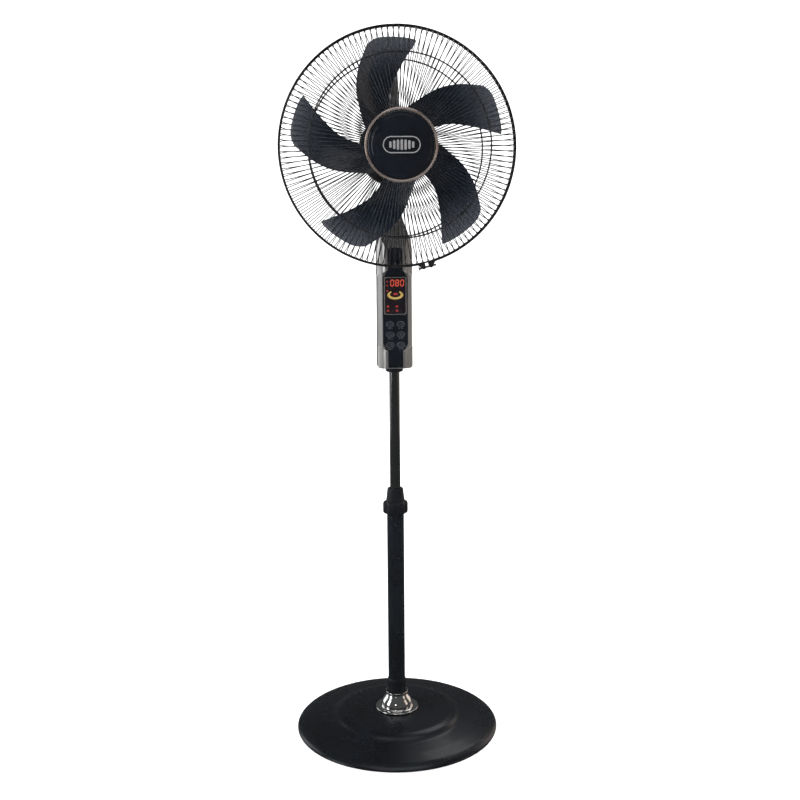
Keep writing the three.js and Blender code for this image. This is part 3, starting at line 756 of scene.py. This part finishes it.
def make_panel():
    panel = Extent("control_fascia")
    front = panel.low.y
    keys = [Extent(f"key_{number}") for number in range(1, 7)]
    holes = [oval(key.middle.x, key.middle.z, key.size.x / 2 + 0.3, key.size.z / 2 + 0.45) for key in keys]
    eye = Extent("signal_eye")
    holes.append(oval(eye.middle.x, eye.middle.z, 2, 2))
    plate("fascia", [fascia_outline(), *holes], front, panel.size.y, 0.5, "mast", "gloss_black",
          "control_fascia")

    for number, key in enumerate(keys, 1):
        half_x, half_z = key.size.x / 2, key.size.z / 2 + 0.2
        levels = [(0.93, 5.2), (0.96, 0.9), (0.93, 0.4), (0.86, 0.08), (0.8, 0), (0.7, 0.25), (0.45, 0.5),
            (0.02, 0.6)]
        rings = [
            [(x, key.low.y + depth, z)
            for x, z in oval(key.middle.x, key.middle.z, half_x * share, half_z * share)]
            for share, depth in levels]
        cap = Shape().skin(rings)
        cap.tube([(key.middle.x, key.low.y + 5, key.middle.z), (key.middle.x, key.high.y, key.middle.z)],
            2.2, 20)
        show(f"key_cap_{number}", cap, f"key_{number}", "key_grey", f"key_{number}")
        mark = Shape()
        rings = []
        for (x0, z0), (x1, z1) in zip(
                oval(key.middle.x, key.middle.z, half_x + 0.55, half_z + 0.5),
                oval(key.middle.x, key.middle.z, half_x + 1.05, half_z + 0.95)):
            rings.append([
                (x, front - lift, z) for x, z, lift in ((x0, z0, -0.2), (x0, z0, 0.12), (x1, z1, 0.12),
                (x1, z1, -0.2))])
        mark.skin(rings, closed=True)
        below = key.low.z - 3.4
        spots = [(-3.2, 1.6), (0, 2.2), (3.6, 1.2)] if number % 2 else [(-2.6, 2.4), (2.6, 2.4)]
        for offset, length in spots:
            bar = rounded([
                (-length / 2, -0.45), (length / 2, -0.45), (length / 2, 0.45), (-length / 2, 0.45)], 0.4, 3)
            rings = [[(key.middle.x + offset + x, front - lift, below + z) for x, z in bar]
                for lift in (-0.2, 0.12)]
            mark.skin(rings)
        show(f"key_mark_{number}", mark, "mast", "legend_grey", slot="key_grey")

    lens = Extent("signal_eye")
    profile = rounded([(0, lens.high.y), (1.7, lens.high.y), (1.7, lens.low.y + 0.6), (1, lens.low.y + 0.1),
                       (0, lens.low.y)], 0.4)
    dome = Shape().turned(profile, "Y", (0, 0, lens.middle.z), 40)
    show("eye_lens", dome, "mast", "pearl_lens", "signal_eye", slot="display_glass")


def make_display():
    rim = Extent("display_frame")
    wide, tall = rim.size.x / 2, rim.size.z / 2
    middle = rim.middle.z

    def window(grow):
        return rounded([
            (-wide - grow, middle - tall - grow), (wide + grow, middle - tall - grow),
            (wide + grow, middle + tall + grow), (-wide - grow, middle + tall + grow)], 3.4, 6)

    plate("screen_rim", [window(0), window(-1.5)], rim.low.y, 1.1, 0.3, "mast", "champagne_silver",
          "display_frame")
    glass = Extent("display_window")
    plate("screen_glass", [window(-1.75)], glass.low.y, glass.size.y, 0.15, "mast", "display_glass",
          "display_window")
    face = glass.low.y

    def lamp(shape, points):
        shape.skin([[(x, face - lift, middle + z) for x, z in points] for lift in (-0.1, 0.14)])

    def segment(shape, x, z, length, upright):
        half, thick = length / 2, 0.85
        bar = [(-half, 0), (-half + thick, thick), (half - thick, thick), (half, 0), (half - thick, -thick),
               (-half + thick, -thick)]
        slant = 0.12
        spots = [(-b, a) if upright else (a, b) for a, b in bar]
        lamp(shape, [(x + a + (z + b) * slant * 0.5, z + b) for a, b in spots])

    digits = Shape()
    long, row = 5.6, 24.2
    patterns = ["abcdef", "abcdefg", "abcdef"]
    for place, pattern in enumerate(patterns):
        x = -7.2 + place * 9.4
        spots = {
            "a": (x, row + long, False), "g": (x, row, False), "d": (x, row - long, False),
            "f": (x - long / 2, row + long / 2, True), "b": (x + long / 2, row + long / 2, True),
            "e": (x - long / 2, row - long / 2, True), "c": (x + long / 2, row - long / 2, True)}
        for letter in pattern:
            where_x, where_z, upright = spots[letter]
            segment(digits, where_x, where_z, long - 0.5, upright)
    show("digits", digits, "mast", "red_light", slot="display_glass")

    icons = Shape()
    for x, z, size in (
        (-15.2, 27, 1.7), (-15.2, 19.5, 1.7), (-15, 9.5, 1.9), (-14, -20, 2.6), (-14, -28, 2.6),
        (3, -20, 2.6),
        (3, -28, 2.6)):
        lamp(icons, oval(x, z, size, size * 0.85, 20))
    lamp(icons, oval(0.5, 3.5, 5, 2.2, 28))
    show("icon_lights", icons, "mast", "dim_red_light", slot="display_glass")

    swirl = Shape()
    for side in (-1, 1):
        outer = [(side * 15 * math.cos(a), 1.5 + 8.2 * math.sin(a))
            for a in (math.radians(t) for t in range(60, -96, -8))]
        inner = [(side * 10.2 * math.cos(a), 2.6 + 5.4 * math.sin(a))
            for a in (math.radians(t) for t in range(-92, 52, 8))]
        lamp(swirl, outer + inner)
    show("speed_light", swirl, "mast", "amber_light", slot="display_glass")


def make_column_back():
    knob = Extent("clamp_screw")
    z, back = knob.middle.z, knob.high.y
    rings = []
    levels = [(0.3, back - 27), (3.5, back - 27), (3.6, back - 10.4), (6.4, back - 10.2), (8.4, back - 9),
              (8.9, back - 7), (8.9, back - 2.4), (8.2, back - 0.8), (6.6, back - 0.1), (4.6, back - 0.6),
              (0.1, back - 1)]
    for radius, y in levels:
        flute = 0.45 if radius > 8 else 0
        rings.append([
            ((radius - flute * (0.5 - 0.5 * math.cos(16 * TURN * i / 128))) * math.cos(TURN * i / 128), y,
             z + (radius - flute * (0.5 - 0.5 * math.cos(16 * TURN * i / 128))) * math.sin(TURN * i / 128))
            for i in range(128)])
    show("clamp_knob", Shape().skin(rings), "mast", "black_moulding", "clamp_screw")

    gland = Extent("cord_inlet")
    z, near, far = gland.middle.z, gland.low.y, gland.high.y
    profile = [(2.6, near), (6, near), (6, near + 5.9), (8.2, near + 5.9), (8.4, near + 6.4), (8, near + 8),
        (6.2, near + 8.6)]
    for i in range(4):
        y = near + 9.4 + i * 1.6
        profile += [(6 - i * 0.3, y), (5.9 - i * 0.3, y + 0.6), (5 - i * 0.3, y + 0.7),
            (5 - i * 0.3, y + 1.2)]
    profile += [(4.2, far), (2.8, far), (2.6, far - 1)]
    show("cord_gland", Shape().turned(profile, "Y", (0, 0, z), 64), "mast", "rubber", "cord_inlet")


# ---------------------------------------------------------------- head
WIRES = 128  # in each guard
WIRE_THICK = 1.65


def guard_line(node, forward):
    """One wire's (radius, y) run from the hub to the rim, with forward = -1 for the front guard."""
    guard = Extent(node)
    rim = guard.size.x / 2 + 0.4
    crown = guard.low.y + 1.2 if forward < 0 else guard.high.y - 1.6
    join = RIM_Y + 2.4 * forward
    deep = crown - join
    start = 60 if forward < 0 else 54
    return [
        (start, crown), (rim * 0.55, join + deep * 0.93), (rim * 0.757, join + deep * 0.82),
        (rim * 0.895, join + deep * 0.63), (rim * 0.972, join + deep * 0.37), (rim, join)]


def wire_cage(node, forward):
    line = through(guard_line(node, forward), 5)
    cage = Shape()
    sides = 6
    for i in range(WIRES):
        angle = TURN * (i + 0.5 * (forward > 0)) / WIRES
        cage.tube(
            [(r * math.cos(angle), y, AXIS_Z + r * math.sin(angle)) for r, y in line], WIRE_THICK / 2, sides)
    rim, join = line[-1]
    cage.wire_ring(rim, join, 2.8, 240)
    support = guard_line(node, forward)[2]
    cage.wire_ring(support[0], support[1] - forward * 1.6, 2.8)
    return cage, line


def make_guards():
    cage, line = wire_cage("front_guard", -1)
    hub_y = line[0][1]
    cage.wire_ring(60.5, hub_y + 0.6, 3.4)
    back = rounded([
        (0, hub_y + 1), (59, hub_y + 1), (61, hub_y + 2), (61, hub_y + 3.4), (56, hub_y + 4.6),
        (0, hub_y + 4.6)], 0.8)
    cage.turned(back, "Y", (0, 0, AXIS_Z), 128)
    show("front_cage", cage, "head", "guard_wire", "front_guard", sharp=60)

    cage, line = wire_cage("rear_guard", 1)
    hub_y = line[0][1]
    cage.wire_ring(56, hub_y - 1, 3)
    disc = rounded([
        (31, hub_y - 1.6), (38, hub_y - 1.6), (41, hub_y - 3.2), (50, hub_y - 3.2), (53, hub_y - 1.6),
        (57, hub_y - 1.4), (57, hub_y + 0.2), (31, hub_y + 0.2)], 0.8)
    cage.turned(disc, "Y", (0, 0, AXIS_Z), 128)
    show("rear_cage", cage, "head", "guard_wire", "rear_guard", sharp=60)

    nut = Extent("rear_guard_nut")
    rings = []
    levels = [(30.5, nut.high.y), (30.5, nut.low.y + 0.6), (31.2, nut.low.y), (38.6, nut.low.y),
        (40.4, nut.low.y + 0.8),
              (42.6, nut.low.y + 3.2), (42.8, nut.high.y - 0.8), (42.2, nut.high.y)]
    for i in range(240):
        angle = TURN * i / 240
        dent = 1.5 * (0.5 + 0.5 * math.cos(20 * angle)) ** 6
        rings.append([
            ((r - dent * (r > 39)) * math.cos(angle), y, AXIS_Z + (r - dent * (r > 39)) * math.sin(angle))
            for r, y in levels])
    show("guard_nut", Shape().skin(rings, closed=True), "head", "black_moulding", "rear_guard_nut")


def make_hoop():
    """A thin channel round both rims, closed by a screw through two lugs."""
    hoop = Extent("guard_hoop")
    outside = hoop.high.x
    screw = Extent("hoop_screw").middle
    seam = math.atan2(screw.z - AXIS_Z, screw.x)
    half_gap = 3.2 / outside
    channel = rounded([
        (-6, outside - 0.2), (6, outside - 0.2), (6.4, outside - 2.4), (5.4, outside - 3),
        (4.6, outside - 1.7),
        (-4.6, outside - 1.7), (-5.4, outside - 3), (-6.4, outside - 2.4)], 0.5, 3)
    rings = []
    steps = 300
    for i in range(steps + 1):
        angle = seam + half_gap + (TURN - 2 * half_gap) * i / steps
        rings.append([(r * math.cos(angle), RIM_Y + y, AXIS_Z + r * math.sin(angle)) for y, r in channel])
    band = Shape().skin(rings)
    lug = rounded([
        (3.2, -2.2), (15, -2.4), (18, -1), (14, 2.4), (10.4, 7), (8.4, 9.6), (5.6, 9.8), (3.2, 7.6)], 2.2, 4)
    for side in (-1, 1):
        rings = []
        for y in (-5.2, -4.4, 4.4, 5.2):
            shrink = 0.93 if abs(y) > 5 else 1
            ring = []
            for along, out in lug:
                r = outside + (out - 3) * shrink + 2
                along = side * (9 + (along - 9) * shrink)
                ring.append((
                    r * math.cos(seam) - along * math.sin(seam), RIM_Y + y,
                    AXIS_Z + r * math.sin(seam) + along * math.cos(seam)))
            rings.append(ring)
        band.skin(rings)
    show("rim_hoop", band, "head", "guard_wire", "guard_hoop", sharp=35)
    refined("hoop_screw", "head", 0.3)


def make_badge():
    disc = Extent("hub_badge")
    wide, front, back = disc.size.x / 2 + 0.2, disc.low.y, disc.high.y
    profile = rounded([
        (0, back), (wide - 1, back), (wide, front + 6), (wide - 1.6, front + 3.6), (52.6, front + 2.3),
        (51.8, front + 3), (50.8, front + 2), (30, front + 0.5), (0, front)], 1.2, 5)
    show("badge_disc", Shape().turned(profile, "Y", (0, 0, AXIS_Z), 192), "head", "gloss_black",
         "hub_badge")
    rim = Extent("badge_ring")
    edge, front = rim.size.x / 2, rim.low.y
    profile = rounded([
        (edge - 5.3, front + 5), (edge - 1, front + 5), (edge, front + 3), (edge - 0.7, front + 1),
        (edge - 2.4, front),
        (edge - 4.2, front + 0.6), (edge - 5.3, front + 2.2)], 1.3, 5)
    show("badge_trim", Shape().turned(profile, "Y", (0, 0, AXIS_Z), 192), "head", "bronze_chrome",
         "badge_ring")

    # A plain emblem: an oval outline with seven upright bars inside it.
    emblem = Shape()

    def raised(points):
        emblem.skin([[(x, disc.low.y + lift, AXIS_Z + z) for x, z in points] for lift in (0.9, -0.12)])

    def stadium(half, tall, bulge):
        return [
            (half * math.copysign(1, math.cos(a)) + (tall + bulge) * math.cos(a),
            (tall + bulge) * math.sin(a))
            for a in (TURN * (i + 0.5) / 64 for i in range(64))]

    inner, outer = stadium(18, 12.6, 0), stadium(18, 12.6, 1.9)
    rings = []
    for (x0, z0), (x1, z1) in zip(inner, outer):
        rings.append([
            (x, disc.low.y + lift, AXIS_Z + z)
            for x, z, lift in ((x0, z0, 1.4), (x0, z0, 0), (x1, z1, 0), (x1, z1, 1.4))])
    emblem.skin(rings, closed=True)
    for x, tall in ((-19.5, 5.4), (-13, 7.4), (-6.5, 8.6), (0, 9), (6.5, 8.6), (13, 7.4), (19.5, 5.4)):
        raised(rounded([(x - 2.1, -tall), (x + 2.1, -tall), (x + 2.1, tall), (x - 2.1, tall)], 1.9, 4))
    show("badge_emblem", emblem, "head", "print_grey", slot="gloss_black")


LEADING_EDGE = [(30, -30), (52, -17), (72, -11), (103, -6), (128, 0), (154, 5.2), (174, 8.8), (190, 11)]
BLADE_PITCH = 34  # degrees at the root
PITCH_FADE = 0.1  # degrees lost with each millimetre outwards
DEEPEST_BLADE = 35  # from leading to trailing edge, along the axis
TRAILING_EDGE = [(30, -88), (52, -70), (69, -60), (90, -48), (126, -36), (150, -28), (172, -20.5),
    (190, -15.5)]


def blade_skin():
    """One swept blade, pointing up: rings run round it from the hub to the tip."""
    fan = Extent("fan_blade")
    root, tip = 33, fan.size.x / 2 + 4.5
    span_steps, chord_steps = 30, 22
    rings = []
    for i in range(span_steps + 1):
        u = math.sin(i / span_steps * math.pi / 2) ** 0.8
        near, far = [], []
        for j in range(chord_steps + 1):
            v = 0.5 - 0.5 * math.cos(math.pi * j / chord_steps)
            end = tip - 2.5 * (1 - v) ** 12 - 9 * v ** 12
            radius = root + (end - root) * u
            lead = value_at(LEADING_EDGE, radius)
            trail = value_at(TRAILING_EDGE, radius)
            angle = math.radians(lead + (trail - lead) * v)
            lean = math.radians(BLADE_PITCH - PITCH_FADE * (radius - root))
            drop = min(radius * math.radians(lead - trail) * math.tan(lean), DEEPEST_BLADE)
            y = RIM_Y - 3 - (v - 0.5) * drop + 6 * (1 - (2 * v - 1) ** 2)
            thick = 1.25 * (1 - abs(2 * v - 1) ** 9) ** 0.5 * (1 - u ** 60) ** 0.5
            x, z = radius * math.sin(angle), AXIS_Z + radius * math.cos(angle)
            near.append((x, y - thick, z))
            far.append((x, y + thick, z))
        rings.append(near + far[-2:0:-1])
    return rings


def make_rotor():
    fan = Extent("fan_blade")
    blades = Shape()
    rings = blade_skin()
    for i in range(5):
        one = Shape().skin(rings).spun(TURN * i / 5, (0, 0, AXIS_Z))
        blades.add(one.points, one.faces)
    front = fan.low.y
    hub = rounded([
        (4.5, front + 2), (20, front + 2), (35, front + 4), (38.5, front + 8), (38.5, front + 43),
        (36, front + 43),
        (36, front + 10), (14, front + 8), (14, front + 36), (4.5, front + 36)], 2, 5)
    blades.turned(hub, "Y", (0, 0, AXIS_Z), 128)
    show("blade_set", blades, "rotor", "smoked_blade", "fan_blade", sharp=45)

    nut = Extent("blade_nut")
    rings = []
    back, front = nut.high.y, nut.low.y
    levels = [(4.3, back), (16.4, back), (16.8, back - 0.8), (16.6, back - 7), (14.6, back - 10.6),
        (12, back - 14.6),
              (9, front + 1.2), (5, front + 0.2), (0.2, front), (0.2, front + 2.6), (4.3, front + 2.8)]
    for i in range(120):
        angle = TURN * i / 120
        flute = 1.3 * (0.5 + 0.5 * math.cos(8 * angle)) ** 3
        rings.append([
            ((r - flute * (r > 11)) * math.cos(angle), y, AXIS_Z + (r - flute * (r > 11)) * math.sin(angle))
            for r, y in levels])
    show("nut_cap", Shape().skin(rings, closed=True), "rotor", "black_moulding", "blade_nut")


def make_motor_covers():
    cover = Extent("motor_rear_cover")
    wide, near, far = cover.size.x / 2, cover.low.y, cover.high.y
    wall = 2.4
    outside = [
        (0, far), (14, far - 0.5), (26, far - 3), (38, far - 9), (48, far - 18), (56, far - 31),
        (60.6, far - 46),
        (64, far - 70), (wide, far - 96), (wide, near)]
    inside = [(max(r - wall, 0), y - wall if y > near + 20 else y) for r, y in outside]
    profile = rounded(outside + inside[::-1], 4, 4)
    shell = Shape().turned(profile, "Y", (0, 0, AXIS_Z), 144)

    def on_skin(reach, angle):
        (r0, y0), (r1, y1) = next(pair for pair in zip(outside, outside[1:]) if reach <= pair[1][0])
        level = y0 + (y1 - y0) * (reach - r0) / (r1 - r0)
        return (reach * math.cos(angle), level - 1.2, AXIS_Z + reach * math.sin(angle))

    vents = Shape()
    for count, start, end in ((18, 15, 30), (34, 36, 51), (44, 55.5, 60)):
        for i in range(count):
            angle = TURN * (i + 0.5) / count
            if end > 34 and (math.sin(angle) > 0.66 or math.sin(angle) < -0.8):
                continue
            vents.tube([on_skin(start + (end - start) * share / 5, angle) for share in range(6)], 1.6, 8)
    slot = Shape().block((-16, -40, AXIS_Z - 90), (16, 40, AXIS_Z - 50))
    mesh = carved("rear_housing", shell, slot, vents)
    show("rear_housing", mesh, "head", "champagne_silver", "motor_rear_cover")

    top = cover.high.z - AXIS_Z
    line = through([
        (-29, 52), (-33, 84), (-32, 118), (-22, top - 14), (-3, top - 9), (18, top - 13), (34, top - 34),
        (42, 86), (46, 62), (45, 34)], 6)
    rings = []
    for i, (y, z) in enumerate(line):
        ahead, behind = line[min(i + 1, len(line) - 1)], line[max(i - 1, 0)]
        along = Vector((ahead[0] - behind[0], ahead[1] - behind[1])).normalized()
        out = Vector((-along.y, along.x))
        half = 6.9 + 11 * max(0.0, (92 - z) / 60) ** 1.6 + 3 * max(0.0, (130 - z) / 60)
        half = min(half, 22)
        thick = 7.6
        section = rounded([(-half, -thick), (half, -thick), (half, thick), (-half, thick)], 5.2, 5)
        rings.append([(x, y + out.x * t, AXIS_Z + z + out.y * t) for x, t in section])
    show("carry_handle", Shape().skin(rings), "head", "champagne_silver", "motor_rear_cover")

    front = Extent("motor_front_cover")
    edge, low, high = front.size.x / 2, front.low.y, front.high.y
    profile = rounded([
        (9.6, low), (30, low), (30, low + 14.4), (34, low + 15), (edge - 5, low + 14.4), (edge, low + 18),
        (edge, high),
        (edge - 3.4, high), (edge - 4, low + 17), (9.6, low + 17)], 1.4, 4)
    nose = Shape().turned(profile, "Y", (0, 0, AXIS_Z), 128)
    for i in range(7):
        nose.wire_ring(29.9, low + 1.6 + i * 1.5, 0.9, 96, 6)
    show("motor_faceplate", nose, "head", "black_moulding", "motor_front_cover")


# ---------------------------------------------------------------- everything else keeps its own shape
def finish_the_rest():
    for node, thing in frame["nodes"].items():
        thing.data.materials.clear()
        thing.data.materials.append(FINISHES[SLOT_OF[node]])


def make_stage():
    """A round pale floor that curves up into a wall on every side, soft boxes and a dim grey room."""
    flat, bend, top, around = 4200, 1800, 9000, 96
    profile = [(1, 0), (1200, 0), (flat, 0)]
    profile += [
        (flat + bend * math.sin(t), bend - bend * math.cos(t))
        for t in (math.pi / 2 * i / 16 for i in range(1, 17))]
    profile.append((flat + bend, top))
    bowl = Shape().skin([
        [(r * math.cos(TURN * i / around), r * math.sin(TURN * i / around), z) for i in range(around)]
        for r, z in profile], capped=False)
    mesh = bowl.mesh("floor")
    mesh.polygons.foreach_set("use_smooth", [True] * len(mesh.polygons))
    mesh.materials.append(floor_white())
    ground = bpy.data.objects.new("floor", mesh)
    bpy.context.scene.collection.objects.link(ground)
    ground.visible_glossy = False

    world = bpy.data.worlds.new("studio")
    world.use_nodes = True
    bpy.context.scene.world = world
    sky = world.node_tree.nodes["Background"]
    sky.inputs["Color"].default_value = (0.93, 0.96, 1, 1)
    sky.inputs["Strength"].default_value = ROOM_LIGHT

    for name, spot, aim, size, power, colour in LAMPS:
        light = bpy.data.lights.new(name, "AREA")
        light.shape = "RECTANGLE"
        light.size, light.size_y = size
        light.energy, light.color = power, colour
        lamp = bpy.data.objects.new(name, light)
        lamp.location = spot
        lamp.rotation_euler = (Vector(aim) - Vector(spot)).to_track_quat("-Z", "Y").to_euler()
        bpy.context.scene.collection.objects.link(lamp)


def make_camera():
    turn, pitch, roll = math.radians(-4.69), math.radians(7.69), math.radians(0.46)
    distance, height = 2.059, 1.020
    camera = bpy.data.cameras.new("camera")
    camera.lens, camera.sensor_width = 48.33, 36
    camera.shift_x, camera.shift_y = 0.0072, -0.05
    eye = bpy.data.objects.new("camera", camera)
    eye.location = (distance * math.sin(turn), -distance * math.cos(turn), height)
    aim = Matrix.Rotation(turn, 3, "Z") @ Matrix.Rotation(math.pi / 2 - pitch, 3,
        "X") @ Matrix.Rotation(-roll, 3, "Z")
    eye.rotation_euler = aim.to_euler()
    bpy.context.scene.collection.objects.link(eye)
    bpy.context.scene.camera = eye


make_camera()
make_base()
make_lock_nut()
make_column()
make_panel()
make_display()
make_column_back()
make_guards()
make_hoop()
make_badge()
make_rotor()
make_motor_covers()
finish_the_rest()
make_stage()
bpy.context.scene.view_settings.view_transform = "Standard"
